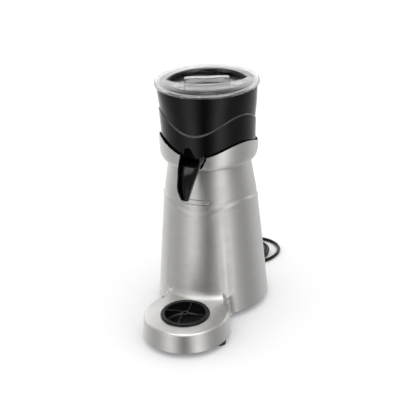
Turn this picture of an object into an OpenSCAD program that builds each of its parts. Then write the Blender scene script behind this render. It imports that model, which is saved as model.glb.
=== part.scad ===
// Citrus press juicer: a tapered steel housing with a round front foot, an induction motor that turns
// a ribbed reamer, a lift-out juice bowl with a spout, a clear lid and a drip cup under the spout.
// Millimetres. The origin is the centre of the footprint on the standing plane, +Z is up, the spout
// faces -Y. Most modules are drawn about the drive axis, with z measured from the housing's lower edge,
// and placed() moves them into the frame.

/* [Housing] */
// Radius of the steel housing at its lower edge
housing_r = 93.3; // [92:0.1:96]
// How much the lower cone narrows for each mm of height
lower_taper = 0.0906; // [0.085:0.0002:0.095]
// How much the upper cone narrows for each mm of height
upper_taper = 0.16; // [0.15:0.005:0.165]
// Height at which the lower cone ends
ledge_z = 186; // [180:1:190]
// Step in from the lower cone to the upper cone
ledge_step = 0.9; // [0.5:0.1:1.2]
// Height of the top of the housing
housing_h = 249; // [247:1:251]
// Thickness of the steel sheet
sheet = 1.2; // [1:0.1:1.5]

/* [Front foot] */
// Distance from the drive axis to the middle of the foot
foot_reach = 140; // [136:1:144]
// Radius of the foot at its lower edge
foot_r = 71; // [70:1:74]
// Height of the foot's top face
foot_top = 31; // [30:1:32]
// Radius of the foot's top edge
foot_edge = 6; // [4:0.5:7]
// How far the foot's wall leans in by the start of its top edge
foot_lean = 3; // [2:0.5:4]
// Radius in plan of the hollow where the foot meets the housing
neck_r = 36; // [30:1:42]

/* [Feet and base] */
// Height of the rubber feet below the housing
pad_h = 9.5; // [8:0.5:11]
// Radius of a rubber foot
pad_r = 10.5; // [8:0.5:11]
// Thickness of the base plate
base_t = 1.5; // [1.2:0.1:2]

/* [Collar] */
// Outer radius of the collar
collar_r = 79.8; // [79.4:0.1:80.2]
// Mean height of the collar's wavy top edge
collar_top = 280; // [278:1:282]
// Height of the collar's three waves, from the middle to a crest
collar_wave = 9.5; // [6:0.5:10]

/* [Bowl and lid] */
// Outer radius of the bowl at its rim
bowl_rim_r = 80; // [79.6:0.1:80.4]
// Height of the bowl's rim
bowl_rim_z = 370; // [368:1:372]
// Wall thickness of the bowl
bowl_wall = 2.5; // [2.2:0.1:2.8]
// Outer radius of the lid's flange
lid_r = 83.2; // [82:0.1:84]
// Height of the lid's crest
lid_top = 381; // [380:1:382]
// Angle to which the lid's grip is turned
grip_turn = 18.6; // [0:0.1:60]

/* [Reamer and drive] */
// Height of the reamer's tip
reamer_top = 352; // [349:1:355]
// Radius of the reamer's skirt
reamer_r = 39.5; // [38.5:0.1:39.6]
// Number of ribs on the reamer, two to a blade
reamer_ribs = 10; // [6:2:12]
// Outer radius of the stator
stator_r = 52; // [50:1:53]
// Height of the stack of laminations
stack_h = 44; // [40:1:44]
// Radius of the drive shaft in its bearings
shaft_r = 7.5; // [7.4:0.05:7.5]

/* [Cord] */
// Diameter of the mains cord
cord_d = 6; // [5.8:0.1:6]
// Direction of the cord gland, turned from straight back
gland_turn = 20; // [18:1:22]
// Height of the cord gland
gland_z = 25; // [24:1:26]

/* [Hidden] */
$fn = 96;
drive_y = (foot_reach + foot_r - housing_r) / 2;  // puts the origin at the middle of the footprint
upper_r = housing_r - lower_taper * ledge_z - ledge_step;
ledge_h = 3;
function upper_at(z) = upper_r - upper_taper * (z - ledge_z - ledge_h);
shell_lip_r = 58;
badge_z = 195;
foot_side_z = foot_top - foot_edge;

// centre of a circle of neck_r that touches the housing and the foot at the height of the foot's top
neck_from_axis = housing_r - lower_taper * foot_top + neck_r;
neck_from_foot = foot_r - foot_lean + neck_r;
neck_cy = -(pow(foot_reach, 2) + pow(neck_from_axis, 2) - pow(neck_from_foot, 2)) / (2 * foot_reach);
neck_cx = sqrt(pow(neck_from_axis, 2) - pow(neck_cy, 2));

cup_reach = foot_reach + 5;
cup_hole_r = 37.4;
cup_r = 36.5;
cup_flange_r = 39.5;
cup_flange_top = foot_top + 1.6;
grid_r = 38.8;
grid_in_r = 32.7;
grid_top = cup_flange_top + 2.4;

pads = [[58.5, -150.5], [-58.5, -150.5], [60, 45], [-60, 45]];
// tabs inside the wall that take the base screws: centre's y, distance from it, turn, reach to the wall
tabs = [[0, 82, 0, 10], [0, 82, 115, 10], [0, 82, -115, 10], [-foot_reach, 60, 140, 9.2],
        [-foot_reach, 60, -140, 9.2]];
vent_count = 12;

collar_z = housing_h;
collar_flange_r = 60;
deck_z = collar_z + sheet;
deck_t = 3;
deck_r = 72;
deck_top = deck_z + deck_t;
deck_screw_r = 62;
bolt_r = 45;
notch_top_x = 21;
notch_foot_x = 13.5;
notch_foot_z = 254;

shield_t = 4;
shield_h = 30;
motor_top = 226;
stack_top = motor_top - shield_h;
stack_z = stack_top - stack_h;
motor_z = stack_z - shield_h;
rotor_r = 30.4;
bore_r = 31;
slot_count = 24;
slot_ring_r = 36;
bearing_r = 17.5;
bearing_h = 11;
tie_r = 47.5;
fan_z = motor_z - 22;

seal_r = 14;
neck_shaft_r = 7;
tip_shaft_r = 6;
tip_shaft_z = 272;
shaft_top = 296;
pin_z = 287;
pin_r = 2;

bowl_z = deck_top;
bowl_floor = 262;
floor_t = 3;
chimney_r = 10;
chimney_top = 281;
ledge_in_r = 70.5;
strainer_z = 299;
strainer_r = 72.5;
strainer_in_r = 41;
strainer_slots = 36;
skirt_z = 297;
hub_r = 11.5;
hub_z = chimney_top + 2;

grip_half = 62;
grip_wide = 38;
grip_arc_r = (pow(grip_half, 2) + pow(grip_wide, 2)) / (2 * grip_wide);
recess_floor = 366;
lid_wall = 2.2;
lid_seat = bowl_rim_z + 0.05;
bar_half = 36;
bar_wide = 14;
bar_top = 378.5;

switch_z = 62;
switch_half_w = 12.5;
switch_half_h = 16;
rocker_r = 13.1;
rocker_tilt = 7;
taper_angle = atan(lower_taper);

gland_r = housing_r - lower_taper * gland_z;
gland_len = 28;
cord_z = cord_d / 2;
coil_at = [20, 208];
coil_in_r = 20;
coil_out_r = 39;
coil_h = 2 * cord_d;
gland_end = [-(gland_r + gland_len) * sin(gland_turn), drive_y + (gland_r + gland_len) * cos(gland_turn),
             gland_z + pad_h];
// the cord's route from the gland, round the outside of the coil and into its outer turn
cord_route = [gland_end, [-44, 180, 34], [-47, 190, 30], [-48, 202, 20], [-46, 216, 9], [-40, 232, 4],
              [-29, 247, 3], [-14, 258, 3], [5, 265, 3], [26, 267, 3], [46, 262, 3], [61, 251, 3],
              [70, 236, 3], [72, 219, 3], [68, 202, 3], [60, 187, 3], [46, 175, 3], [28, 167, 3],
              [8, 166, 3], [-9, 173, 3], [-20, 186, 3], [-23, 202, 3], [-18, 218, 3], [-9, 230, 3]];
// the far end rises off the coil's top turns to the plug
plug_route = [[51.5, 189.8, 9], [38.8, 175.5, 9.6], [20, 170.5, 13], [5, 175, 17], [-4, 187, 22],
              [-5, 199, 24]];
plug_at = [-5, 226, 12];
plug_r = 19;
plug_t = 22;
wire_d = 3;
supply_route = [[-28, 128, 34.5], [-22, 118, 34], [-8, 104, 28], [10, 88, 22], [24, 76, 20], [30, 68, 20]];
motor_route = [[50, 60, 20], [60, 62, 30], [66, 64, 60], [66, 64, 100], [62, 62, 125], [55.8, 60, 140]];

// ---- helpers

module placed() translate([0, drive_y, pad_h]) children();

module tube(outer, inner, z0, z1) translate([0, 0, z0]) difference() {
    cylinder(r = outer, h = z1 - z0);
    translate([0, 0, -1]) cylinder(r = inner, h = z1 - z0 + 2);
}

module ring_of(count, radius, start = 0)
    for (i = [0:count - 1]) rotate([0, 0, start + i * 360 / count]) translate([radius, 0, 0]) children();

// a place on the lower cone: +Y points straight out of the sheet, turn 0 is the back
module on_housing(turn, z) rotate([0, 0, turn]) translate([0, housing_r - lower_taper * z, z])
    rotate([taper_angle, 0, 0]) children();

module at_tabs() for (t = tabs) translate([0, t[0], 0]) rotate([0, 0, t[2]]) translate([0, t[1], 0]) {
    $reach = t[3];
    children();
}

// outline of the waist between the housing and its foot, seen from above, drawn in by inset
module neck(inset) difference() {
    polygon([[0, 0], [neck_cx, neck_cy], [0, -foot_reach], [-neck_cx, neck_cy]]);
    for (side = [-1, 1]) translate([side * neck_cx, neck_cy]) circle(r = neck_r + inset, $fn = 160);
}

// a flat plate with the outline of the housing and its foot
module plan_plate(inset, thick) {
    cylinder(r = housing_r - inset, h = thick, $fn = 160);
    translate([0, -foot_reach, 0]) cylinder(r = foot_r - inset, h = thick, $fn = 160);
    linear_extrude(thick) neck(inset);
}

// the housing's outer form, drawn in by inset
module shell_form(inset, start) {
    rotate_extrude($fn = 160) polygon([
        [0, start], [housing_r - inset, start], [housing_r - inset, 0],
        [housing_r - lower_taper * ledge_z - inset, ledge_z], [upper_r - inset, ledge_z + ledge_h],
        [upper_at(housing_h) - inset, housing_h - inset],
        [0, housing_h - inset]]);
    translate([0, -foot_reach, 0]) rotate_extrude($fn = 160) polygon(concat(
        [[0, start], [foot_r - inset, start], [foot_r - inset, 0]],
        [for (a = [0:15:90]) [foot_r - foot_lean - foot_edge + (foot_edge - inset) * cos(a),
                              foot_side_z + (foot_edge - inset) * sin(a)]],
        [[0, foot_top - inset]]));
    translate([0, 0, start]) linear_extrude(foot_side_z - start) neck(inset);
    for (a = [0, 30, 60]) translate([0, 0, foot_side_z - 1])
        linear_extrude((foot_edge - inset) * sin(a + 30) + 1) neck(inset + foot_edge * (1 - cos(a + 30)));
}

// a round tube swept along points, with a ring of sides at each step of a smooth line through them
function unit(v) = v / norm(v);
function smooth_at(p, i, t) = let (
    a = p[max(i - 1, 0)], b = p[i], c = p[i + 1], d = p[min(i + 2, len(p) - 1)])
    0.5 * (2 * b + (c - a) * t + (2 * a - 5 * b + 4 * c - d) * t * t + (3 * b - a - 3 * c + d) * t * t * t);
function smooth(p, steps) = concat(
    [for (i = [0:len(p) - 2], k = [0:steps - 1]) smooth_at(p, i, k / steps)], [p[len(p) - 1]]);
function heading(p, i) = unit(p[min(i + 1, len(p) - 1)] - p[max(i - 1, 0)]);
function ring(p, i, r, sides) = let (
    t = heading(p, i), u = unit(cross(t, abs(t[2]) > 0.9 ? [1, 0, 0] : [0, 0, 1])), v = cross(u, t))
    [for (k = [0:sides - 1]) p[i] + r * (cos(360 * k / sides) * u + sin(360 * k / sides) * v)];

module swept(route, r, sides, steps) {
    line = smooth(route, steps);
    last = len(line) - 1;
    polyhedron(
        points = [for (i = [0:last]) each ring(line, i, r, sides)],
        faces = concat(
            [[for (k = [sides - 1:-1:0]) k]],
            [[for (k = [0:sides - 1]) last * sides + k]],
            [for (i = [0:last - 1], k = [0:sides - 1]) let (n = (k + 1) % sides)
                [i * sides + k, i * sides + n, (i + 1) * sides + n, (i + 1) * sides + k]]));
}

// ---- housing

module body_shell() color([0.72, 0.71, 0.69]) placed() {
    difference() {
        shell_form(0, 0);
        shell_form(sheet, -1);
        cylinder(r = shell_lip_r, h = housing_h + 1);
        translate([0, -cup_reach, 0]) cylinder(r = cup_hole_r, h = foot_top + 1);
        rotate([0, 0, gland_turn]) translate([0, 60, gland_z]) rotate([-90, 0, 0]) cylinder(r = 6.6, h = 60);
        on_housing(0, switch_z) translate([-switch_half_w, -8, -switch_half_h])
            cube([2 * switch_half_w, 20, 2 * switch_half_h]);
        ring_of(4, deck_screw_r) cylinder(r = 2.2, h = housing_h + 1);
    }
    at_tabs() translate([0, 0, base_t + 0.5]) difference() {
        translate([-6, -7, 0]) cube([12, $reach + 7, 8]);
        translate([0, 0, -1]) cylinder(r = 1.75, h = 12);
    }
}

function collar_edge(a) = collar_top - collar_wave * cos(3 * a);

module collar_ring() color([0.74, 0.73, 0.71]) placed() {
    steps = 120;
    section = 12;
    points = [for (i = [0:steps - 1]) let (
        a = 360 * i / steps, top = collar_edge(a),
        outline = [[collar_flange_r, collar_z], [74, collar_z], [77.2, collar_z + 2], [79.3, collar_z + 11],
                   [collar_r, collar_z + 19], [collar_r, top], [collar_r - sheet, top],
                   [collar_r - sheet, collar_z + 19], [79.3 - sheet, collar_z + 11.2],
                   [77 - sheet, collar_z + sheet + 1], [72.8, collar_z + sheet],
                   [collar_flange_r, collar_z + sheet]])
        each [for (p = outline) [p[0] * sin(a), -p[0] * cos(a), p[1]]]];
    difference() {
        polyhedron(points, [for (i = [0:steps - 1], k = [0:section - 1]) let (
            n = (i + 1) % steps, m = (k + 1) % section)
            [i * section + k, n * section + k, n * section + m, i * section + m]]);
        translate([0, -70, 0]) rotate([90, 0, 0]) linear_extrude(20) polygon([
            [-notch_top_x, collar_top + 20], [-notch_top_x, collar_top - 10], [-notch_foot_x, notch_foot_z],
            [notch_foot_x, notch_foot_z], [notch_top_x, collar_top - 10], [notch_top_x, collar_top + 20]]);
        ring_of(4, deck_screw_r) translate([0, 0, collar_z - 1]) cylinder(r = 2.2, h = 4, $fn = 24);
    }
}

module deck_plate() color([0.6, 0.6, 0.6]) placed() difference() {
    translate([0, 0, deck_z]) cylinder(r = deck_r, h = deck_t);
    translate([0, 0, deck_z - 1]) cylinder(r = seal_r, h = deck_t + 2);
    ring_of(4, deck_screw_r) translate([0, 0, deck_z - 1]) cylinder(r = 2.2, h = deck_t + 2);
    ring_of(4, bolt_r, 45) translate([0, 0, deck_z - 1]) cylinder(r = 2.8, h = deck_t + 2);
}

module screw(shank_r, head_r, head_h, shank_h) {
    difference() {
        cylinder(r = head_r, h = head_h, $fn = 40);
        for (turn = [0, 90]) rotate([0, 0, turn])
            translate([-head_r * 0.55, -0.5, head_h * 0.5]) cube([head_r * 1.1, 1, head_h]);
    }
    translate([0, 0, -shank_h]) cylinder(r = shank_r, h = shank_h + 0.1, $fn = 32);
}

module deck_screws() color([0.55, 0.55, 0.56]) placed()
    ring_of(4, deck_screw_r) translate([0, 0, deck_top]) screw(2, 3.8, 2.4, 10);

module base_plate() color([0.62, 0.63, 0.64]) placed() translate([0, 0, 0.5]) difference() {
    plan_plate(sheet + 0.4, base_t);
    ring_of(vent_count, 40) translate([-11, -1.6, -1]) cube([22, 3.2, base_t + 2]);
    at_tabs() translate([0, 0, -1]) cylinder(r = 2, h = base_t + 2);
    for (p = pads) translate([p[0], p[1], -1]) cylinder(r = 2.1, h = base_t + 2);
}

module base_screws() color([0.55, 0.55, 0.56]) placed()
    at_tabs() translate([0, 0, 0.5]) mirror([0, 0, 1]) screw(1.7, 3.4, 2, 8);

module rubber_feet() color([0.09, 0.09, 0.09]) placed()
    for (p = pads) translate([p[0], p[1], -pad_h]) {
        cylinder(r1 = pad_r - 0.8, r2 = pad_r, h = pad_h - 1);
        cylinder(r = pad_r - 1.2, h = pad_h + 0.5);
        cylinder(r = 2, h = pad_h + 3.5);
        translate([0, 0, pad_h + 0.5 + base_t]) cylinder(r1 = 3.4, r2 = 2, h = 2);
    }

// a ring on the upper cone, from grow outside its surface and in to inner
module upper_band(inner, grow, z0, z1) rotate_extrude($fn = 160) polygon([
    [inner, z0], [upper_at(z0) + grow, z0], [upper_at(z1) + grow, z1], [inner, z1]]);

module badge_plate() color([0.8, 0.8, 0.78]) placed() intersection() {
    difference() {
        upper_band(60, 0.75, badge_z - 5, badge_z + 5);
        upper_band(0, 0, badge_z - 6, badge_z + 6);
    }
    translate([0, -60, badge_z]) rotate([90, 0, 0]) linear_extrude(30) {
        square([42, 9], center = true);
        for (side = [-1, 1]) translate([side * 21, 0]) circle(r = 4.5);
    }
}

// ---- motor, fixed parts

module bearing(z) tube(bearing_r, shaft_r + 0.05, z, z + bearing_h);

// an end shield with its open side down: a plate, a rim on the stack, a boss round the bearing
module shield() difference() {
    union() {
        translate([0, 0, shield_h - shield_t]) cylinder(r = stator_r + 2, h = shield_t);
        tube(stator_r + 2, stator_r - 2, 0, shield_h);
        translate([0, 0, shield_h - 16]) cylinder(r = bearing_r + 4, h = 16);
        ring_of(4, bolt_r, 45) translate([0, 0, shield_h - 14]) cylinder(r = 6, h = 14);
    }
    translate([0, 0, shield_h - 17]) cylinder(r = bearing_r, h = bearing_h + 3);
    cylinder(r = shaft_r + 1.5, h = shield_h + 1);
    ring_of(4, bolt_r, 45) translate([0, 0, shield_h - 13]) cylinder(r = 2.6, h = 14);
    ring_of(4, tie_r) translate([0, 0, -1]) cylinder(r = 2.2, h = shield_h + 2);
}

module upper_shield() color([0.7, 0.71, 0.72]) placed() translate([0, 0, stack_top]) shield();

module lower_shield() color([0.7, 0.71, 0.72]) placed()
    translate([0, 0, stack_z]) mirror([0, 0, 1]) shield();

module stator_core() color([0.4, 0.42, 0.45]) placed() difference() {
    translate([0, 0, stack_z]) cylinder(r = stator_r, h = stack_h);
    translate([0, 0, stack_z - 1]) cylinder(r = bore_r, h = stack_h + 2);
    ring_of(slot_count, slot_ring_r) translate([0, 0, stack_z - 1]) cylinder(r = 2.4, h = stack_h + 2);
    ring_of(4, tie_r) translate([0, 0, stack_z - 1]) cylinder(r = 2.2, h = stack_h + 2);
}

module stator_winding() color([0.72, 0.4, 0.2]) placed() {
    for (z = [stack_z - 10, stack_top + 0.5]) tube(44, 33.5, z, z + 9.5);
    ring_of(slot_count, slot_ring_r) translate([0, 0, stack_z - 1]) cylinder(r = 2.1, h = stack_h + 2);
}

module tie_bolts() color([0.55, 0.55, 0.56]) placed() ring_of(4, tie_r) {
    translate([0, 0, motor_z - 4]) cylinder(r = 2, h = motor_top - motor_z + 6, $fn = 32);
    translate([0, 0, motor_z - 3]) cylinder(r = 4, h = 3, $fn = 6);
    translate([0, 0, motor_top]) cylinder(r = 3.8, h = 3, $fn = 32);
}

module upper_bearing() color([0.6, 0.62, 0.65]) placed() bearing(motor_top - 14);

module lower_bearing() color([0.6, 0.62, 0.65]) placed() bearing(motor_z + 14 - bearing_h);

module motor_bolts() color([0.55, 0.55, 0.56]) placed() ring_of(4, bolt_r, 45) {
    translate([0, 0, deck_top]) cylinder(r = 4.4, h = 4, $fn = 6);
    translate([0, 0, motor_top - 11]) cylinder(r = 2.5, h = deck_top - motor_top + 11, $fn = 32);
}

module isolation_bushes() color([0.12, 0.12, 0.12]) placed() ring_of(4, bolt_r, 45) {
    tube(8, 2.8, motor_top, deck_z);
    tube(9, 8, motor_top + 6, motor_top + 10);
}

module shaft_seal() color([0.15, 0.1, 0.09]) placed() {
    tube(seal_r, neck_shaft_r + 2, deck_z, deck_top);
    tube(seal_r, neck_shaft_r + 0.06, deck_top, deck_top + 2);
}

// ---- electrical parts

module run_capacitor() color([0.85, 0.85, 0.82]) placed() translate([-45, 12, base_t + 0.5]) {
    translate([0, 0, 4]) cylinder(r = 16, h = 52);
    translate([0, 0, 2]) cylinder(r = 14.5, h = 2);
    for (x = [-5, 5]) translate([x - 0.4, -3, 56]) cube([0.8, 6, 8]);
}

module capacitor_clip() color([0.6, 0.61, 0.62]) placed() translate([-45, 12, base_t + 0.5]) {
    tube(17.2, 16.05, 26, 36);
    translate([-6, 16.3, 0]) cube([12, 1.2, 36]);
    translate([-6, 16.3, 0]) cube([12, 12, 1.2]);
}

module terminal_block() color([0.88, 0.87, 0.8]) placed() translate([40, 4, base_t + 0.5]) difference() {
    translate([-8, -16, 0]) cube([16, 32, 14]);
    for (y = [-10, 0, 10]) {
        translate([-9, y, 6]) rotate([0, 90, 0]) cylinder(r = 2, h = 18);
        for (x = [-4, 4]) translate([x, y, 8]) cylinder(r = 1.8, h = 8);
    }
}

module inner_wiring() color([0.15, 0.3, 0.6]) {
    swept(supply_route, wire_d, 8, 3);
    for (shift = [-4, 0, 4]) translate([0, shift, 0]) swept(motor_route, wire_d / 2, 8, 3);
}

module switch_body() color([0.1, 0.1, 0.1]) placed() on_housing(0, switch_z) difference() {
    union() {
        translate([-switch_half_w + 0.1, -2, -switch_half_h + 0.1])
            cube([2 * switch_half_w - 0.2, 4, 2 * switch_half_h - 0.2]);
        translate([-11, -24, -14.5]) cube([22, 23, 29]);
        for (z = [-8, 0, 8], x = [-5, 5]) translate([x - 0.4, -33, z - 3]) cube([0.8, 10, 6]);
    }
    translate([-9.5, -16, -13.6]) cube([19, 30, 27.2]);
}

// a rocker at its off position, its faces leaning about the pivot's axis
module switch_rocker() color([0.55, 0.08, 0.07]) placed() on_housing(0, switch_z)
    rotate([rocker_tilt, 0, 0]) rotate([0, -90, 0]) translate([0, 0, -9])
        linear_extrude(18) intersection() {
            circle(r = rocker_r);
            polygon([[-14, -8], [14, -8], [14, 5], [0, 2.6], [-14, 5]]);
        }

// ---- cord

module cord_gland() color([0.08, 0.08, 0.08]) placed() rotate([0, 0, gland_turn])
    translate([0, gland_r, gland_z]) rotate([-90, 0, 0]) {
        translate([0, 0, -6]) cylinder(r = 6.4, h = 8);
        translate([0, 0, 0.6]) cylinder(r = 9, h = 2.4);
        difference() {
            translate([0, 0, 3]) cylinder(r1 = 6.8, r2 = cord_d / 2 + 1.2, h = gland_len - 3);
            for (z = [8:5:23]) tube(9, 4.4, z, z + 2);
        }
    }

module power_cord() color([0.06, 0.06, 0.06]) swept(cord_route, cord_d / 2, 10, 3);

module cord_coil() color([0.06, 0.06, 0.06]) translate([coil_at[0], coil_at[1], 0]) rotate_extrude()
    polygon([[coil_in_r, 1], [coil_in_r + 1, 0], [coil_out_r - 1, 0], [coil_out_r, 1],
             [coil_out_r, coil_h - 1], [coil_out_r - 1, coil_h], [coil_in_r + 1, coil_h],
             [coil_in_r, coil_h - 1]]);

module plug_lead() color([0.06, 0.06, 0.06]) swept(plug_route, cord_d / 2, 10, 3);

module cord_tie() color([0.1, 0.1, 0.1]) translate([coil_at[0], coil_at[1], 0]) rotate([0, 0, -30])
    difference() {
        translate([coil_in_r - 1.9, -4, 0]) cube([coil_out_r - coil_in_r + 3.3, 8, coil_h + 1.4]);
        translate([coil_in_r - 0.5, -5, -1]) cube([coil_out_r - coil_in_r + 0.6, 10, coil_h + 1.1]);
    }

module plug_body() color([0.07, 0.07, 0.07]) translate(plug_at) {
    cylinder(r = plug_r, h = plug_t - 6);
    translate([0, 0, plug_t - 6]) cylinder(r = plug_r - 1.5, h = 6);
    translate([0, 4 - plug_r, plug_t / 2 + 1]) rotate([90, 0, 0])
        cylinder(r1 = 6.5, r2 = 4.2, h = 12);
}

module plug_pins() color([0.75, 0.75, 0.72]) translate(plug_at)
    for (x = [-9.5, 9.5]) translate([x, 0, plug_t]) {
        cylinder(r = 2.4, h = 17, $fn = 32);
        translate([0, 0, 17]) cylinder(r1 = 2.4, r2 = 1.4, h = 2, $fn = 32);
    }

// ---- drive

module drive_shaft() color([0.75, 0.76, 0.78]) placed() {
    translate([0, 0, fan_z - 2]) cylinder(r = tip_shaft_r, h = motor_z - fan_z + 4);
    translate([0, 0, motor_z + 2]) cylinder(r = shaft_r, h = motor_top - motor_z - 4);
    translate([0, 0, motor_top - 2]) cylinder(r = neck_shaft_r, h = tip_shaft_z - motor_top + 2);
    difference() {
        translate([0, 0, tip_shaft_z - 1]) cylinder(r = tip_shaft_r, h = shaft_top - tip_shaft_z + 1);
        translate([-20, 0, pin_z]) rotate([0, 90, 0]) cylinder(r = pin_r, h = 40);
    }
}

module rotor_core() color([0.45, 0.46, 0.48]) placed() tube(rotor_r, shaft_r, stack_z, stack_top);

module rotor_rings() color([0.78, 0.79, 0.8]) placed() {
    for (z = [stack_z - 6, stack_top]) tube(29, 20, z, z + 6);
    ring_of(6, 24.5) for (z = [stack_z - 9, stack_top + 5]) translate([-1, -3, z]) cube([2, 6, 4]);
}

module cooling_fan() color([0.15, 0.15, 0.16]) placed() {
    tube(11, tip_shaft_r, fan_z, fan_z + 12);
    tube(46, 10.5, fan_z, fan_z + 1.6);
    ring_of(9, 10) translate([0, -0.8, fan_z]) cube([34, 1.6, 12]);
}

module drive_pin() color([0.75, 0.76, 0.78]) placed()
    translate([-9, 0, pin_z]) rotate([0, 90, 0]) cylinder(r = pin_r, h = 18, $fn = 40);

// ---- pressing parts

// half section of the reamer's dome, swollen by grow
function dome(grow) = [for (a = [0:6:90]) [(34 + grow) * pow(cos(a), 0.85),
                                           305 + (reamer_top - 305 - 2 + grow / 2) * sin(a)]];

module reamer_cone() color([0.1, 0.1, 0.1]) placed() difference() {
    union() {
        rotate_extrude() polygon(concat(
            [[0, skirt_z], [reamer_r, skirt_z], [reamer_r, skirt_z + 4], [reamer_r - 2, skirt_z + 7]],
            dome(0)));
        for (i = [0:reamer_ribs / 2 - 1]) intersection() {
            rotate_extrude() polygon(concat([[0, skirt_z + 4]], [[reamer_r - 1, skirt_z + 4]], dome(4)));
            rotate([0, 0, i * 360 / reamer_ribs])
                translate([-reamer_r, -1.2, skirt_z + 2]) cube([2 * reamer_r, 2.4, 70]);
        }
        translate([0, 0, hub_z]) cylinder(r = hub_r, h = skirt_z - hub_z + 1);
    }
    rotate_extrude() polygon([
        [hub_r, skirt_z - 1], [reamer_r - 2.5, skirt_z - 1], [reamer_r - 2.5, skirt_z + 4],
        [31, skirt_z + 9], [22, skirt_z + 30], [hub_r, skirt_z + 38]]);
    // the hub's bore, and the slot that drops over the drive pin
    translate([0, 0, hub_z - 1]) cylinder(r = tip_shaft_r + 0.08, h = shaft_top - hub_z + 3);
    translate([-hub_r - 1, -pin_r - 0.35, hub_z - 1])
        cube([2 * hub_r + 2, 2 * pin_r + 0.7, pin_z + pin_r + 0.4 - hub_z + 1]);
}

module juice_bowl() color([0.07, 0.07, 0.07]) placed() difference() {
    rotate_extrude($fn = 160) polygon([
        [chimney_r, bowl_floor - floor_t], [68, bowl_floor - floor_t], [68, bowl_z], [71, bowl_z],
        [71, bowl_floor - floor_t], [73, bowl_floor - floor_t], [74.8, bowl_floor],
        [76.3, 300], [79, 350], [bowl_rim_r, bowl_rim_z - 2], [bowl_rim_r, bowl_rim_z],
        [bowl_rim_r - bowl_wall, bowl_rim_z], [79 - bowl_wall, 350], [76.3 - bowl_wall, strainer_z],
        [ledge_in_r, strainer_z], [ledge_in_r, strainer_z - 3], [76 - bowl_wall, strainer_z - 7],
        [75 - bowl_wall, bowl_floor + 2], [73 - bowl_wall, bowl_floor], [chimney_r + 2.5, bowl_floor],
        [chimney_r + 2.5, chimney_top], [chimney_r, chimney_top]]);
    translate([-17.5, -90, bowl_floor]) cube([35, 30, 18]);
}

// stations of the spout: top edge's y and z, half width, floor's y and z
spout_at = [[-78, 282, 20, -73, 262], [-84, 281, 19, -79, 261.5], [-92, 278, 17.4, -86, 260],
            [-105, 264, 16.2, -95, 254], [-113, 255, 14.2, -102, 247], [-122, 246, 12.2, -109, 238],
            [-127, 238, 10.3, -114, 230], [-127, 230, 7.8, -117, 223], [-126, 222, 5.5, -119, 217]];
spout_wall = 2;

module pour_spout() color([0.06, 0.06, 0.06]) placed() {
    count = len(spout_at);
    points = [for (s = spout_at) let (
        w = s[2], d = unit([s[3] - s[0], s[4] - s[1]]), fy = s[3] + spout_wall * d[0],
        fz = s[4] + spout_wall * d[1])
        each [[-w, s[0], s[1]], [-w * 0.8, fy, fz], [w * 0.8, fy, fz], [w, s[0], s[1]],
              [w - spout_wall, s[0], s[1]], [w * 0.8 - spout_wall, s[3], s[4]],
              [-w * 0.8 + spout_wall, s[3], s[4]], [-w + spout_wall, s[0], s[1]]]];
    polyhedron(points, concat(
        [[0, 1, 6, 7], [1, 2, 5, 6], [2, 3, 4, 5]],
        [for (f = [[7, 6, 1, 0], [6, 5, 2, 1], [5, 4, 3, 2]]) [for (k = f) (count - 1) * 8 + k]],
        [for (i = [0:count - 2], k = [0:7]) let (n = (k + 1) % 8)
            [i * 8 + k, (i + 1) * 8 + k, (i + 1) * 8 + n, i * 8 + n]]));
}

module strainer() color([0.5, 0.52, 0.5]) placed() difference() {
    rotate_extrude() polygon([
        [strainer_in_r, strainer_z], [strainer_r, strainer_z], [strainer_r, strainer_z + 6],
        [strainer_r - 1.8, strainer_z + 6], [strainer_r - 1.8, strainer_z + 2],
        [strainer_in_r + 1.8, strainer_z + 2], [strainer_in_r + 1.8, strainer_z + 7],
        [strainer_in_r, strainer_z + 7]]);
    ring_of(strainer_slots, 46) translate([0, -1.2, strainer_z - 1]) cube([20, 2.4, 4]);
}

module leaf(grow, z0, z1) translate([0, 0, z0]) intersection_for(side = [-1, 1])
    translate([0, side * (grip_arc_r - grip_wide), 0])
        cylinder(r = grip_arc_r + grow, h = z1 - z0, $fn = 160);

module lid() color([0.8, 0.82, 0.83, 0.5]) placed() rotate([0, 0, grip_turn]) {
    difference() {
        union() {
            rotate_extrude($fn = 160) polygon([
                [74.6, bowl_rim_z - 7], [76.4, bowl_rim_z - 7], [76.4, lid_seat], [lid_r, lid_seat],
                [lid_r, bowl_rim_z + 3.4], [74, bowl_rim_z + 3.4], [67, lid_top], [0, lid_top],
                [0, lid_top - lid_wall], [66, lid_top - lid_wall], [72, bowl_rim_z + 1.2],
                [74.6, bowl_rim_z]]);
            leaf(lid_wall, recess_floor - lid_wall, lid_top - 1);
        }
        leaf(0, recess_floor, lid_top + 1);
    }
    difference() {
        union() {
            translate([-bar_half + 7, -bar_wide / 2, recess_floor - 1])
                cube([2 * bar_half - 14, bar_wide, bar_top - recess_floor + 1]);
            for (side = [-1, 1]) translate([side * (bar_half - 7), 0, recess_floor - 1])
                cylinder(r = bar_wide / 2, h = bar_top - recess_floor + 1);
        }
        translate([-bar_half + 7, -bar_wide / 2 + 2, recess_floor - 5])
            cube([2 * bar_half - 14, bar_wide - 4, bar_top - recess_floor + 3]);
    }
}

module drip_cup() color([0.07, 0.07, 0.07]) placed() translate([0, -cup_reach, 0])
    rotate_extrude() polygon([
        [0, 9], [33, 9], [cup_r, 12], [cup_r, foot_top], [cup_flange_r, foot_top],
        [cup_flange_r, cup_flange_top], [cup_r - 1.7, cup_flange_top], [cup_r - 1.7, 12.6],
        [32.5, 10.6], [0, 10.6]]);

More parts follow.
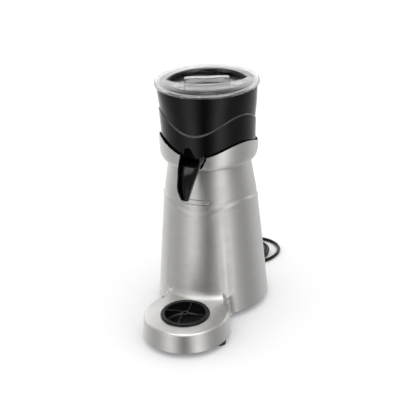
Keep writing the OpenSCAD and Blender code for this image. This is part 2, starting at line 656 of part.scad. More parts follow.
module drip_grid() color([0.06, 0.06, 0.06]) placed() translate([0, -cup_reach, 0]) {
    tube(grid_r, grid_in_r, cup_flange_top, grid_top);
    tube(grid_in_r + 1.6, grid_in_r, cup_flange_top - 4, cup_flange_top + 1);
    tube(6.5, 3, grid_top - 4, grid_top - 0.6);
    ring_of(4, 6) translate([-1, -1.3, grid_top - 4]) cube([28.4, 2.6, 3.4]);
}

body_shell();
collar_ring();
deck_plate();
deck_screws();
base_plate();
base_screws();
rubber_feet();
badge_plate();
motor_bolts();
isolation_bushes();
upper_shield();
lower_shield();
stator_core();
stator_winding();
tie_bolts();
upper_bearing();
lower_bearing();
shaft_seal();
run_capacitor();
capacitor_clip();
terminal_block();
inner_wiring();
switch_body();
switch_rocker();
cord_gland();
power_cord();
cord_coil();
plug_lead();
cord_tie();
plug_body();
plug_pins();
drive_shaft();
rotor_core();
rotor_rings();
cooling_fan();
drive_pin();
reamer_cone();
juice_bowl();
pour_spout();
strainer();
lid();
drip_cup();
drip_grid();
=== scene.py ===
import math

import bpy
from mathutils import Euler, Matrix, Vector


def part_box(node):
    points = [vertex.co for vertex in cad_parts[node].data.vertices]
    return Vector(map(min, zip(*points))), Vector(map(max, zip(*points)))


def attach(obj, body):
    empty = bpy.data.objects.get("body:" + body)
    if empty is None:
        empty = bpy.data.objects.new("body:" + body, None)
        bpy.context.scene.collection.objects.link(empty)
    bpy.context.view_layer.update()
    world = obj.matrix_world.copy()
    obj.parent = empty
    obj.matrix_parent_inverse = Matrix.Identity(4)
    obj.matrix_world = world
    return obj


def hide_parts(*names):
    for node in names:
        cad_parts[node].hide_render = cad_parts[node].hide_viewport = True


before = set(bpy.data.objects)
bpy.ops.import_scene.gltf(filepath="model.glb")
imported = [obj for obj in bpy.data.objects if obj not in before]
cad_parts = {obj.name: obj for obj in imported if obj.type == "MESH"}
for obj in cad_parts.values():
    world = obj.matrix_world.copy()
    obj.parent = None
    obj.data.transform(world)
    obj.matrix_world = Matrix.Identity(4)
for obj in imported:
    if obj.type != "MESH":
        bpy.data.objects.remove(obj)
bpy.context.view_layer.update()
print("frame loaded:", len(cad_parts), "nodes")

mm = 0.001
housingLow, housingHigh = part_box("body_shell")
shaftLow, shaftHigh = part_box("drive_shaft")
driveAxis = Vector(((shaftLow.x + shaftHigh.x) / 2, (shaftLow.y + shaftHigh.y) / 2, 0))
lowerEdge = housingLow.z  # the housing's lower edge above the table
tau = 2 * math.pi


# small helpers

def onDrive(x, y, z):
    # millimetres about the drive axis, up from the housing's lower edge
    return Vector((driveAxis.x + x * mm, driveAxis.y + y * mm, lowerEdge + z * mm))


def aroundDrive(radius, angle, z):
    # angle 0 is the front, and it grows towards +X
    return onDrive(radius * math.sin(angle), -radius * math.cos(angle), z)


def mix(a, b, t):
    return a + (b - a) * t


def clamp(t, low=0.0, high=1.0):
    return max(low, min(high, t))


def ease(t):
    t = clamp(t)
    return t * t * (3 - 2 * t)


def glide(a, b, c, d, t):
    # a smooth curve from b to c that runs on from a and towards d
    return 0.5 * (2 * b + (c - a) * t + (2 * a - 5 * b + 4 * c - d) * t ** 2 + (3 * b - a - 3 * c + d) * t ** 3)


def hump(rise, amount, middle, spread):
    return amount * math.exp(-((rise - middle) / spread) ** 2)


def squared(wave, power):
    # a sine or cosine flattened into a rounder, boxier curve, with its sign kept
    return math.copysign(abs(wave) ** power, wave)


def deselectAll():
    if bpy.context.mode != "OBJECT":
        bpy.ops.object.mode_set(mode="OBJECT")
    bpy.ops.object.select_all(action="DESELECT")


def pick(piece):
    deselectAll()
    piece.select_set(True)
    bpy.context.view_layer.objects.active = piece


def smooth(piece, sharp):
    pick(piece)
    bpy.ops.object.shade_smooth_by_angle(angle=math.radians(sharp))


def settle(piece, sharp=35, merge=0.004):
    # closes seams and poles, turns the faces out, bakes the place into the mesh and smooths it
    pick(piece)
    bpy.ops.object.transform_apply(location=True, rotation=True, scale=True)
    bpy.ops.object.mode_set(mode="EDIT")
    bpy.ops.mesh.select_all(action="SELECT")
    bpy.ops.mesh.remove_doubles(threshold=merge * mm)
    bpy.ops.mesh.dissolve_degenerate(threshold=merge * mm / 2)
    bpy.ops.mesh.select_all(action="SELECT")
    bpy.ops.mesh.normals_make_consistent(inside=False)
    bpy.ops.object.mode_set(mode="OBJECT")
    smooth(piece, sharp)


def applyModifier(piece, kind, **settings):
    pick(piece)
    modifier = piece.modifiers.new(kind.title(), kind)
    for name, value in settings.items():
        setattr(modifier, name, value)
    bpy.ops.object.modifier_apply(modifier=modifier.name)


def addSheet(name, columns, rows, place):
    # a grid whose points are laid out by place(column, row)
    deselectAll()
    bpy.ops.mesh.primitive_grid_add(x_subdivisions=columns, y_subdivisions=rows, size=2)
    sheet = bpy.context.object
    sheet.name = name
    for point in sheet.data.vertices:
        column = round((point.co.x + 1) / 2 * columns)
        row = round((point.co.y + 1) / 2 * rows)
        point.co = place(column, row)
    return sheet


def rounded(corners, radius, steps=4):
    # a profile in mm whose inner corners are rounded by at most radius
    line = [corners[0]]
    for before, corner, after in zip(corners, corners[1:], corners[2:]):
        ends = []
        for other in (before, after):
            reach = math.dist(corner, other)
            t = min(radius, 0.48 * reach) / reach
            ends.append((mix(corner[0], other[0], t), mix(corner[1], other[1], t)))
        for k in range(steps + 1):
            t = k / steps
            line.append(tuple((1 - t) ** 2 * ends[0][i] + 2 * t * (1 - t) * corner[i] + t * t * ends[1][i]
                              for i in (0, 1)))
    line.append(corners[-1])
    return line


def addTurned(name, profile, centre, steps=96):
    # spins a profile of (radius, height) in mm about an upright axis through centre
    deselectAll()
    start = Vector((profile[0][0] * mm, 0, profile[0][1] * mm))
    bpy.ops.mesh.primitive_plane_add(size=2 * mm, location=centre + start)
    piece = bpy.context.object
    piece.name = name
    bpy.ops.object.mode_set(mode="EDIT")
    bpy.ops.mesh.select_all(action="SELECT")
    bpy.ops.mesh.merge(type="CENTER")
    for here, there in zip(profile, profile[1:]):
        step = ((there[0] - here[0]) * mm, 0, (there[1] - here[1]) * mm)
        bpy.ops.mesh.extrude_vertices_move(TRANSFORM_OT_translate={"value": step})
    bpy.ops.mesh.select_all(action="SELECT")
    bpy.ops.mesh.spin(steps=steps, angle=tau, center=centre, axis=(0, 0, 1))
    bpy.ops.object.mode_set(mode="OBJECT")
    return piece


def addBlock(place, size, tilt=0.0):
    deselectAll()
    bpy.ops.mesh.primitive_cube_add(size=1, location=onDrive(*place))
    block = bpy.context.object
    block.scale = [side * mm for side in size]
    block.rotation_euler = Euler((tilt, 0, 0))
    return block


def cutAway(piece, cutter):
    applyModifier(piece, "BOOLEAN", operation="DIFFERENCE", solver="EXACT", object=cutter)
    bpy.data.objects.remove(cutter)


def joined(name, parts):
    deselectAll()
    for part in parts:
        part.select_set(True)
    bpy.context.view_layer.objects.active = parts[0]
    bpy.ops.object.join()
    parts[0].name = name
    return parts[0]


def install(piece, body, slotName, material, *nodes):
    # gives a piece its finish and the body it rides on, and hides the CAD nodes that it stands for
    if material is not None:
        piece.data.materials.clear()
        piece.data.materials.append(material)
    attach(piece, body)
    if nodes:
        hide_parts(*nodes)


# materials: every pattern is scaled from a size in mm

def linear(hexColour):
    parts = [int(hexColour[i:i + 2], 16) / 255 for i in (0, 2, 4)]
    return tuple(c / 12.92 if c <= 0.04045 else ((c + 0.055) / 1.055) ** 2.4 for c in parts) + (1,)


def addNode(tree, kind, inputs=None, **settings):
    node = tree.nodes.new(kind)
    for name, value in settings.items():
        setattr(node, name, value)
    for name, value in (inputs or {}).items():
        if isinstance(value, bpy.types.NodeSocket):
            tree.links.new(value, node.inputs[name])
        else:
            node.inputs[name].default_value = value
    return node


def startMaterial(name, fixed):
    material = bpy.data.materials.new(name)
    material.use_nodes = True
    tree = material.node_tree
    shader = tree.nodes["Principled BSDF"]
    for socket, value in fixed.items():
        shader.inputs[socket].default_value = value
    return material, tree, shader


def grainNoise(tree, sizes, detail=3.0, distortion=0.0):
    # noise whose grain has the given length along X, Y and Z in mm
    place = addNode(tree, "ShaderNodeTexCoord").outputs["Object"]
    scale = tuple(1 / (s * mm) for s in sizes)
    spread = addNode(tree, "ShaderNodeMapping", {"Vector": place, "Scale": scale})
    noise = addNode(tree, "ShaderNodeTexNoise", {
        "Vector": spread.outputs["Vector"], "Scale": 1.0, "Detail": detail, "Distortion": distortion})
    return noise.outputs["Fac"]


def between(tree, factor, low, high, start=0.3, stop=0.7):
    ranged = addNode(tree, "ShaderNodeMapRange", {
        "Value": factor, "From Min": start, "From Max": stop, "To Min": low, "To Max": high})
    return ranged.outputs["Result"]


def tinted(tree, factor, dark, light):
    blended = addNode(tree, "ShaderNodeMix", {"Factor": factor}, data_type="RGBA")
    blended.inputs[6].default_value = linear(dark)
    blended.inputs[7].default_value = linear(light)
    return blended.outputs[2]


def finishMaterial(tree, shader, colour, roughness, height, depth):
    bump = addNode(tree, "ShaderNodeBump", {"Height": height, "Strength": 1.0, "Distance": depth * mm})
    tree.links.new(colour, shader.inputs["Base Color"])
    tree.links.new(roughness, shader.inputs["Roughness"])
    tree.links.new(bump.outputs["Normal"], shader.inputs["Normal"])


def metal(name, dark, light, rough, grain, depth=0.01, **fixed):
    # bare metal: streaks of grain shift the colour and the gloss a little
    material, tree, shader = startMaterial(name, {"Metallic": 1.0, **fixed})
    streaks = grainNoise(tree, grain)
    cloud = grainNoise(tree, [14 * s for s in grain], detail=2.0)
    colour = tinted(tree, between(tree, streaks, 0, 1), dark, light)
    roughness = between(tree, cloud, rough * 0.88, rough * 1.12)
    finishMaterial(tree, shader, colour, roughness, streaks, depth)
    return material


def plastic(name, dark, light, rough, grain, depth, **fixed):
    # moulded plastic or rubber: a fine even grain and a slow change of gloss from handling
    material, tree, shader = startMaterial(name, fixed)
    fine = grainNoise(tree, (grain, grain, grain), detail=2.0)
    wear = grainNoise(tree, (22, 22, 22), detail=4.0)
    colour = tinted(tree, between(tree, wear, 0, 1), dark, light)
    roughness = between(tree, wear, rough * 0.8, rough * 1.25)
    finishMaterial(tree, shader, colour, roughness, fine, depth)
    return material


def brushedSteel(name, dark, light, rough, grain, lean):
    # ground stainless sheet: the brush runs round the part, so highlights stand up as soft upright bands
    material, tree, shader = startMaterial(name, {
        "Metallic": 1.0, "Anisotropic": lean, "Anisotropic Rotation": 0.25})
    streaks = grainNoise(tree, grain, detail=4.0)
    cloud = grainNoise(tree, (30, 30, 14), detail=3.0)
    colour = tinted(tree, between(tree, streaks, 0, 1, 0.25, 0.75), dark, light)
    roughness = between(tree, cloud, rough * 0.9, rough * 1.1)
    finishMaterial(tree, shader, colour, roughness, streaks, 0.005)
    tangent = addNode(tree, "ShaderNodeTangent", direction_type="UV_MAP", uv_map="UVMap")
    tree.links.new(tangent.outputs["Tangent"], shader.inputs["Tangent"])
    return material


# brushed 18/8 stainless sheet; drawn coarser than its real 0.1 mm grit so that it shows
shellSteel = brushedSteel("BrushedStainlessSheet", "c2c1bf", "cfcecb", 0.44, (45, 45, 0.5), 0.7)
collarSteel = brushedSteel("BrushedStainlessCollar", "c4c3c1", "d1d0cd", 0.38, (45, 45, 0.5), 0.6)
badgeSteel = metal("SatinStainlessBadge", "bab9b5", "cfcecb", 0.36, (8, 8, 0.5), 0.004)
# cold rolled stainless left as it comes from the mill: even, half dull
deckSteel = metal("MillFinishStainless", "8f9090", "a5a6a5", 0.36, (0.5, 12, 12))
strainerSteel = metal("PressedStainless", "a9aaa8", "c3c4c2", 0.24, (3, 3, 0.6))
screwSteel = metal("ZincPlatedScrewSteel", "8c8d8f", "acadaf", 0.32, (0.4, 0.4, 0.4))
# hot dip zinc: a crystalline spangle about 6 mm across
zincPlate = metal("GalvanisedSheet", "8b8f92", "b2b6b9", 0.42, (6, 6, 6), 0.02)
shaftSteel = metal("GroundShaftSteel", "a8a9ab", "c6c7c9", 0.18, (6, 6, 0.3), 0.004)
bearingSteel = metal("BearingSteel", "95979a", "b5b7ba", 0.2, (4, 4, 0.3), 0.004)
castAluminium = metal("CastAluminium", "8f9193", "aeb0b2", 0.55, (0.8, 0.8, 0.8), 0.06)
lamination = metal("LaminatedElectricalSteel", "3b3e44", "70747b", 0.45, (40, 40, 0.5), 0.05)
winding = metal("EnamelledCopperWire", "6e3214", "b8672f", 0.3, (9, 9, 0.6), 0.08)
capacitorCan = metal("DrawnAluminiumCan", "a9aaa8", "c4c5c3", 0.35, (20, 20, 0.5))
pinNickel = metal("NickelPlatedBrass", "b0aca2", "cfcbc1", 0.16, (0.6, 0.6, 4), 0.004)
# moulded SAN and ABS: deep black, nearly mirror smooth
bowlPlastic = plastic("GlossBlackAbs", "040404", "060606", 0.05, 1.5, 0.001, **{"Specular IOR Level": 0.22})
# painted reflection: a lighter grey for the upward faces of the bowl's wavy step, in place of the overhead
# light that they reflect
stepReflectionPaint = plastic("PaintedStepReflectionGrey", "343434", "3c3c3c", 0.3, 0.5, 0.004)
spoutPlastic = plastic("GlossBlackSpout", "040404", "060606", 0.08, 1.5, 0.001,
                       **{"Specular IOR Level": 0.22})
cupPlastic = plastic("SatinBlackPolypropylene", "0b0b0b", "141414", 0.35, 0.6, 0.01)
gridPlastic = plastic("MattBlackPolypropylene", "090909", "101010", 0.34, 0.5, 0.01,
                      **{"Specular IOR Level": 0.3})
# painted shade: near black for the badge's shallow groove, in place of the shade a deeper groove would hold
grooveShadePaint = plastic("PaintedGrooveShade", "121212", "1a1a1a", 0.3, 0.5, 0.002)
reamerPlastic = plastic("SatinBlackAcetal", "131414", "1f2120", 0.28, 0.8, 0.01)
switchPlastic = plastic("BlackNylon", "101010", "1b1b1b", 0.45, 0.4, 0.02)
rockerPlastic = plastic("RedPolycarbonate", "6d0f0c", "8a1512", 0.22, 0.8, 0.004)
terminalPlastic = plastic("NaturalPolyamide", "c9c4b0", "ddd9c8", 0.5, 0.6, 0.02)
fanPlastic = plastic("GlassFilledNylon", "1a1a1b", "2b2b2d", 0.55, 0.5, 0.03)
wireSleeve = plastic("BlueFlexSleeve", "16356e", "22478b", 0.4, 0.6, 0.01)
tiePlastic = plastic("BlackNylonTie", "0d0d0d", "181818", 0.5, 0.4, 0.02)
plugPlastic = plastic("MouldedPvcPlug", "0b0b0b", "151515", 0.42, 0.5, 0.02)
# flexible PVC and nitrile: dull, with a soft powdery sheen
cordRubber = plastic("FlexiblePvc", "050505", "090909", 0.32, 0.5, 0.01, **{"Specular IOR Level": 0.25})
footRubber = plastic("NitrileRubber", "0c0c0c", "191918", 0.7, 0.7, 0.04)
sealRubber = plastic("SiliconeSeal", "3a1c16", "4d2a22", 0.6, 0.7, 0.02)


def acrylic(name, colour, rough):
    material, tree, shader = startMaterial(name, {
        "IOR": 1.49, "Transmission Weight": 1.0, "Base Color": linear(colour)})
    haze = grainNoise(tree, (18, 18, 18), detail=4.0)
    fine = grainNoise(tree, (3, 3, 3), detail=2.0)
    tree.links.new(between(tree, haze, rough * 0.7, rough * 1.4), shader.inputs["Roughness"])
    bump = addNode(tree, "ShaderNodeBump", {"Height": fine, "Strength": 1.0, "Distance": 0.006 * mm})
    tree.links.new(bump.outputs["Normal"], shader.inputs["Normal"])
    return material


clearAcrylic = acrylic("ClearAcrylic", "fafafa", 0.02)  # polished in the mould: you look right through
print("materials made")


# camera

view = {"place": (0.4799, -1.35065, 0.8707), "azimuth": 19.0, "down": 25.5, "roll": -2.0, "lens": 85.76,
        "sensor": 36}
turn = (Matrix.Rotation(math.radians(view["azimuth"]), 4, "Z")
        @ Matrix.Rotation(math.radians(90 - view["down"]), 4, "X")
        @ Matrix.Rotation(math.radians(view["roll"]), 4, "Z"))
cameraData = bpy.data.cameras.new("camera")
cameraData.lens = view["lens"]
cameraData.sensor_width = view["sensor"]
camera = bpy.data.objects.new("camera", cameraData)
camera.matrix_world = Matrix.Translation(view["place"]) @ turn
bpy.context.scene.collection.objects.link(camera)
bpy.context.scene.camera = camera


# mains cord: one fixed length, from the gland round the coil to the plug, in mm

cord = {"diameter": 6, "coilCentre": (20, 208), "coilOuter": 36.4, "coilInner": 23, "wholeTurns": 4,
        "climb": 80, "coilPoints": 110, "steps": 3, "wall": 91.035, "gland": 28, "glandTurn": 20,
        "glandHeight": 34.5}
glandReach = cord["wall"] + cord["gland"]  # the housing's radius there and the gland's length
glandEnd = (-glandReach * math.sin(math.radians(cord["glandTurn"])),
            driveAxis.y / mm + glandReach * math.cos(math.radians(cord["glandTurn"])), cord["glandHeight"])
looseRoute = [glandEnd, (-44, 180, 34), (-47, 190, 30), (-48, 202, 20), (-46, 216, 9), (-40, 232, 4),
              (-29, 247, 3), (-14, 258, 3), (5, 265, 3), (26, 267, 3), (46, 262, 3), (61, 251, 3),
              (70, 236, 3), (72, 219, 3), (68, 202, 3), (60, 187, 3), (46, 175, 3), (28, 167, 3),
              (8, 166, 3), (-9, 173, 3), (-20, 186, 3), (-23, 202, 3), (-18, 218, 3), (-9, 230, 3)]
plugRoute = [(51.5, 189.8, 9), (38.8, 175.5, 9.6), (20, 170.5, 13), (5, 175, 17), (-4, 187, 22),
             (-5, 199, 24)]


def smoothLine(points, steps):
    points = [Vector(p) for p in points]
    line = []
    for i in range(len(points) - 1):
        a, b, c = points[max(i - 1, 0)], points[i], points[i + 1]
        d = points[min(i + 2, len(points) - 1)]
        line += [glide(a, b, c, d, k / steps) for k in range(steps)]
    return line + [points[-1]]


def coilTurns():
    # two flat layers: the lower one winds in, the upper one winds out, both clockwise from above
    centre = Vector((*cord["coilCentre"], 0))
    begin = Vector(looseRoute[-1]) - centre
    end = Vector(plugRoute[0]) - centre
    first = math.atan2(begin.y, begin.x)
    swing = (first - math.atan2(end.y, end.x)) % tau + cord["wholeTurns"] * tau
    pitch = 2 * (cord["coilOuter"] - cord["coilInner"]) / swing
    points = []
    for i in range(1, cord["coilPoints"]):
        passed = swing * i / cord["coilPoints"]
        radius = cord["coilInner"] + pitch * abs(passed - swing / 2)
        lift = ease((passed - swing / 2) / math.radians(cord["climb"]) + 0.5)
        angle = first - passed
        points.append(centre + Vector((radius * math.cos(angle), radius * math.sin(angle),
                                       cord["diameter"] * (0.5 + lift))))
    return points


cordLine = smoothLine([*looseRoute, *coilTurns(), *plugRoute], cord["steps"])
cordCurve = bpy.data.curves.new("mains_cord", "CURVE")
cordCurve.dimensions = "3D"
cordCurve.bevel_depth = cord["diameter"] / 2 * mm
cordCurve.bevel_resolution = 3
cordCurve.use_fill_caps = True
strand = cordCurve.splines.new("POLY")
strand.points.add(len(cordLine) - 1)
for point, place in zip(strand.points, cordLine):
    point.co = (place.x * mm, place.y * mm, max(place.z, cord["diameter"] / 2) * mm, 1)
strand.use_smooth = True
mainsCord = bpy.data.objects.new("mains_cord", cordCurve)
bpy.context.scene.collection.objects.link(mainsCord)
cordLength = sum((b - a).length for a, b in zip(cordLine, cordLine[1:])) * mm
install(mainsCord, "housing", "cord_rubber", cordRubber, "power_cord", "cord_coil", "plug_lead")
print("cord laid:", round(cordLength, 3), "m")


# plug: a moulded two pin body with grip ribs, lying on the coil

plug = {"centre": (-5, 226, 12), "radius": 19, "thick": 22, "shoulder": 15, "step": 1.5, "round": 1.6,
        "entry": 12, "entryRadius": 6.6, "entryBack": 15, "ribs": 5, "rib": 2, "groove": 1, "narrowing": 0.4}
plugCentre = Vector(plug["centre"]) * mm
plugShell = addTurned("plug_shell", rounded([
    (0, 0), (plug["radius"] - 1, 0), (plug["radius"], 3), (plug["radius"], plug["shoulder"]),
    (plug["radius"] - plug["step"], plug["shoulder"] + 2), (plug["radius"] - plug["step"], plug["thick"]),
    (0, plug["thick"])], plug["round"]), plugCentre)
settle(plugShell)
entryProfile = [(0, 0), (plug["entryRadius"], 0), (plug["entryRadius"], plug["rib"])]
for i in range(plug["ribs"]):
    crest, high = plug["entryRadius"] - 0.3 - plug["narrowing"] * i, 3 + plug["rib"] * i
    entryProfile += [(crest, high), (crest - plug["groove"], high + 0.5), (crest - plug["groove"], high + 1.4)]
entryProfile += [(3.6, plug["entry"] + 2.6), (3.05, plug["entry"] + 3)]  # closes in on the cord
plugEntry = addTurned("plug_entry", entryProfile, Vector((0, 0, 0)), 40)
plugEntry.rotation_euler = Euler((math.radians(90), 0, 0))
plugEntry.location = plugCentre + Vector((0, -plug["entryBack"], plug["thick"] / 2 + 1)) * mm
settle(plugEntry)
plugBody = joined("mains_plug", [plugShell, plugEntry])
install(plugBody, "housing", "plug_plastic", plugPlastic, "plug_body")


# hook and loop tie round the coil

tie = {"turn": -75, "width": 9, "thick": 0.9, "square": 0.45, "slack": 3.2, "high": 6.2, "middle": 6.4,
       "lowest": 0.55, "around": 64, "across": 4}


def tieLoop(column, row):
    # a flat band that hugs the coil's section, two layers high
    around = tau * column / tie["around"]
    wide = (cord["coilOuter"] - cord["coilInner"]) / 2 + tie["slack"]
    out = (cord["coilOuter"] + cord["coilInner"]) / 2 + wide * squared(math.cos(around), tie["square"])
    up = tie["middle"] + tie["high"] * squared(math.sin(around), tie["square"])
    flat = Vector((out, (row / tie["across"] - 0.5) * tie["width"], max(up, tie["lowest"])))
    return (Matrix.Rotation(math.radians(tie["turn"]), 3, "Z") @ flat
            + Vector((*cord["coilCentre"], 0))) * mm


cordTie = addSheet("coil_tie", tie["around"], tie["across"], tieLoop)
settle(cordTie)
applyModifier(cordTie, "SOLIDIFY", thickness=tie["thick"] * mm, offset=0)
settle(cordTie)
install(cordTie, "housing", "tie_plastic", tiePlastic, "cord_tie")


# housing: one drawn sheet, cone above, round foot in front, hollow neck between

housing = {"base": 93.3, "taper": 0.0906, "upperBase": 75.55, "upperTaper": 0.16, "upperFrom": 189,
           "top": 249, "lip": 8, "footReach": 140, "footRadius": 68, "footTop": 31, "edge": 4.6, "lean": 3,
           "neck": 36, "fillet": 13, "sheet": 1.2, "waveMean": 183, "waveHeight": 7, "ledge": 3,
           "swell": (0.9, -2.4, 3.6), "dip": (1.0, 3.2, 3.4), "cupReach": 145, "pocket": 37.4,
           "switchPlace": (0, 88, 62), "switchSize": (24.9, 24, 31.9)}
# how closely the sheet is divided: round the foot, the neck and the back, and up the wall
outlineSteps = {"foot": 44, "neck": 26, "back": 60, "slide": 0.45, "slideFrom": 36, "slideOver": 32,
                "least": 0.12}
wallSteps, edgeSteps, flatSteps, filletSteps = 5, 7, 6, 9
footRows = wallSteps + edgeSteps + flatSteps + filletSteps
coneSteps, upperSteps = 14, 9
ledgeSteps = [-8, -5.5, -4, -2.8, -1.6, -0.6, 0.4, 1.4, 2.6, 3.8, 5.4, 7.5, 10]
shellRows = footRows + coneSteps + len(ledgeSteps) + upperSteps + 3


def lowerCone(z):
    return housing["base"] - housing["taper"] * z


def upperCone(z):
    return housing["upperBase"] - housing["upperTaper"] * (z - housing["upperFrom"])


def ledgeHeight(angle):
    return housing["waveMean"] - housing["waveHeight"] * math.cos(3 * angle)


def coneRadius(z, angle):
    # lower cone, a soft swelling under the wavy ledge, a dip above it, then the upper cone
    rise = z - ledgeHeight(angle)
    radius = mix(lowerCone(z), upperCone(z), ease(rise / housing["ledge"] + 0.5))
    return radius + hump(rise, *housing["swell"]) - hump(rise, *housing["dip"])


rimRadius = lowerCone(housing["footTop"])
neckReach = rimRadius + housing["neck"]
footReach = housing["footRadius"] + housing["neck"]
neckY = -(housing["footReach"] ** 2 + neckReach ** 2 - footReach ** 2) / (2 * housing["footReach"])
neckMiddle = Vector((math.sqrt(neckReach ** 2 - neckY ** 2), neckY))
footMiddle = Vector((0, -housing["footReach"]))


def cornerSize(size, apart):
    # an edge or fillet shrinks where the foot stands out less than it needs
    return min(size, 0.45 * apart)


def footOutline():
    # from the front of the foot to the back of the housing: place, outward normal, cone angle, and how far the
    # foot stands out from the cone there
    spans = []
    toNeck = (neckMiddle - footMiddle).normalized()
    footSwing = math.atan2(toNeck.x, -toNeck.y)
    for k in range(outlineSteps["foot"]):
        a = footSwing * k / outlineSteps["foot"]
        out = Vector((math.sin(a), -math.cos(a)))
        spans.append((footMiddle + out * housing["footRadius"], out))
    toAxis = (-neckMiddle).normalized()
    first, last = math.atan2(-toNeck.y, -toNeck.x) % tau, math.atan2(toAxis.y, toAxis.x) % tau
    for k in range(outlineSteps["neck"] + 1):
        a = mix(first, last, k / outlineSteps["neck"])
        out = Vector((math.cos(a), math.sin(a)))
        spans.append((neckMiddle + out * housing["neck"], -out))
    footCount = len(spans)
    joinAngle = math.atan2(neckMiddle.x, -neckMiddle.y)
    least = math.radians(outlineSteps["least"])
    columns = []
    for i, (place, out) in enumerate(spans):
        apart = max(place.length - rimRadius, 0)
        inner = place - out * cornerSize(housing["edge"], apart)
        seen = math.atan2(inner.x, -inner.y)
        share = outlineSteps["slide"] * (1 - ease((i - outlineSteps["slideFrom"]) / outlineSteps["slideOver"]))
        angle = mix(seen, joinAngle * i / (footCount - 1), share)
        if columns:
            angle = max(angle, columns[-1][2] + least)
        columns.append((place, out, min(angle, joinAngle - least * (footCount - 1 - i)), apart))
    for k in range(1, outlineSteps["back"] + 1):
        a = mix(joinAngle, math.pi, k / outlineSteps["back"])
        columns.append((Vector((math.sin(a), -math.cos(a))) * rimRadius, None, a, 0))
    return columns


half = footOutline()
outline = half + [(Vector((-p.x, p.y)), out and Vector((-out.x, out.y)), -a, apart)
                  for p, out, a, apart in half[-2:0:-1]]


def footPoint(column, row):
    # wall, rolled edge, flat top and the fillet that runs up into the cone
    place, out, angle, apart = column
    edge, hollow = cornerSize(housing["edge"], apart), cornerSize(housing["fillet"], apart)
    full = min(1, apart / 30)
    top = housing["footTop"]
    # the fillet meets the leaning cone a little before it stands upright
    filletRise, filletRun, filletSwing = 0.909, 0.996, 84.8
    flatRim = lowerCone(top + filletRise * hollow) + filletRun * hollow
    if row < wallSteps + edgeSteps:
        if row < wallSteps:
            z, inset = (top - edge) * row / wallSteps, 0
        else:
            t = math.radians(90 * (row - wallSteps) / (edgeSteps - 1))
            z, inset = top - edge + edge * math.sin(t), edge * (1 - math.cos(t))
        lean = full * housing["lean"] * max(0, 1 - z / (top - edge))
        lean += (1 - full) * housing["taper"] * (top - z)
        spot = place + out * (lean - inset)
        return onDrive(spot.x, spot.y, z)
    if row < wallSteps + edgeSteps + flatSteps:
        t = (row - wallSteps - edgeSteps + 1) / (flatSteps + 1)
        start = place - out * edge
        finish = Vector((math.sin(angle), -math.cos(angle))) * flatRim
        spot = start.lerp(finish, t)
        return onDrive(spot.x, spot.y, top)
    t = math.radians(filletSwing * (row - wallSteps - edgeSteps - flatSteps) / (filletSteps - 1))
    return aroundDrive(flatRim - hollow * math.sin(t), angle, top + hollow * (1 - math.cos(t)))


def footColumn(column):
    # the foot's edges sink smoothly into the cone where the foot runs out
    angle, apart = column[2:]
    share = ease(apart / 9)
    reach = housing["footTop"] + housing["fillet"]
    spots = []
    for row in range(footRows):
        z = reach * row / (footRows - 1)
        plain = aroundDrive(lowerCone(z), angle, z)
        spots.append(plain if share == 0 else plain.lerp(footPoint(column, row), share))
    return spots


footColumns = [footColumn(column) for column in outline]


def shellPoint(columnIndex, row):
    columnIndex %= len(outline)
    angle = outline[columnIndex][2]
    if row < footRows:
        return footColumns[columnIndex][row]
    start = (footColumns[columnIndex][-1].z - lowerEdge) / mm
    ledge = ledgeHeight(angle)
    row -= footRows
    if row < coneSteps:
        z = mix(start, ledge + ledgeSteps[0], (row + 1) / (coneSteps + 1))
    elif row < coneSteps + len(ledgeSteps):
        z = ledge + ledgeSteps[row - coneSteps]
    elif row < coneSteps + len(ledgeSteps) + upperSteps:
        t = (row - coneSteps - len(ledgeSteps) + 1) / upperSteps
        z = mix(ledge + ledgeSteps[-1], housing["top"] - 1, t)
    else:
        lip = [(0.3, 0.3), (1, 0), (housing["lip"], 0), (housing["lip"], 0)]
        inward, drop = lip[row - coneSteps - len(ledgeSteps) - upperSteps]
        return aroundDrive(coneRadius(housing["top"], angle) - inward, angle, housing["top"] - drop)
    return aroundDrive(coneRadius(z, angle), angle, z)


housingShell = addSheet("housing_shell", len(outline), shellRows, shellPoint)
settle(housingShell, 60)
applyModifier(housingShell, "SOLIDIFY", thickness=housing["sheet"] * mm, offset=-1)
deselectAll()
bpy.ops.mesh.primitive_cylinder_add(vertices=128, radius=housing["pocket"] * mm, depth=30 * mm,
                                    location=onDrive(0, -housing["cupReach"], housing["footTop"]))
cutAway(housingShell, bpy.context.object)
cutAway(housingShell, addBlock(housing["switchPlace"], housing["switchSize"], math.atan(housing["taper"])))
smooth(housingShell, 50)
install(housingShell, "housing", "steel_shell", shellSteel, "body_shell")
print("housing drawn:", len(housingShell.data.polygons), "faces")


# collar: a spun steel ring with a wavy top edge and a notch for the spout

collar = {"radius": 79.8, "bottom": 249, "mean": 280, "wave": 9.5, "notchTop": 21, "notchFoot": 13,
          "notchZ": 254, "notchRim": 270.5, "sheet": 1.2, "edge": 0.45, "flange": 60, "waist": 5.4,
          "waistHeight": 5.2, "rows": 18, "back": 60}


def collarRadius(z):
    return collar["radius"] - collar["waist"] * math.exp(-(z - collar["bottom"] - 0.6) / collar["waistHeight"])


def collarEdge(angle):
    wave = collar["mean"] - collar["wave"] * math.cos(3 * angle)
    across = abs(collar["radius"] * math.sin(angle))
    if math.cos(angle) < 0 or across > collar["notchTop"] + 2:
        return wave
    side = (across - collar["notchFoot"]) / (collar["notchTop"] - collar["notchFoot"])
    slope = mix(collar["notchZ"], collar["notchRim"], clamp(side))
    return min(wave, slope) if side < 1 else wave


def collarAngles():
    # close together across the notch, closest along its sides
    across = [0.9 * i for i in range(13)] + [11.6 + 0.4 * i for i in range(26)]
    angles = [math.asin(x / collar["radius"]) for x in across]
    rest = angles[-1]
    angles += [mix(rest, math.pi, k / collar["back"]) for k in range(1, collar["back"] + 1)]
    return angles + [-a for a in angles[-2:0:-1]]


collarTurns = sorted(collarAngles())


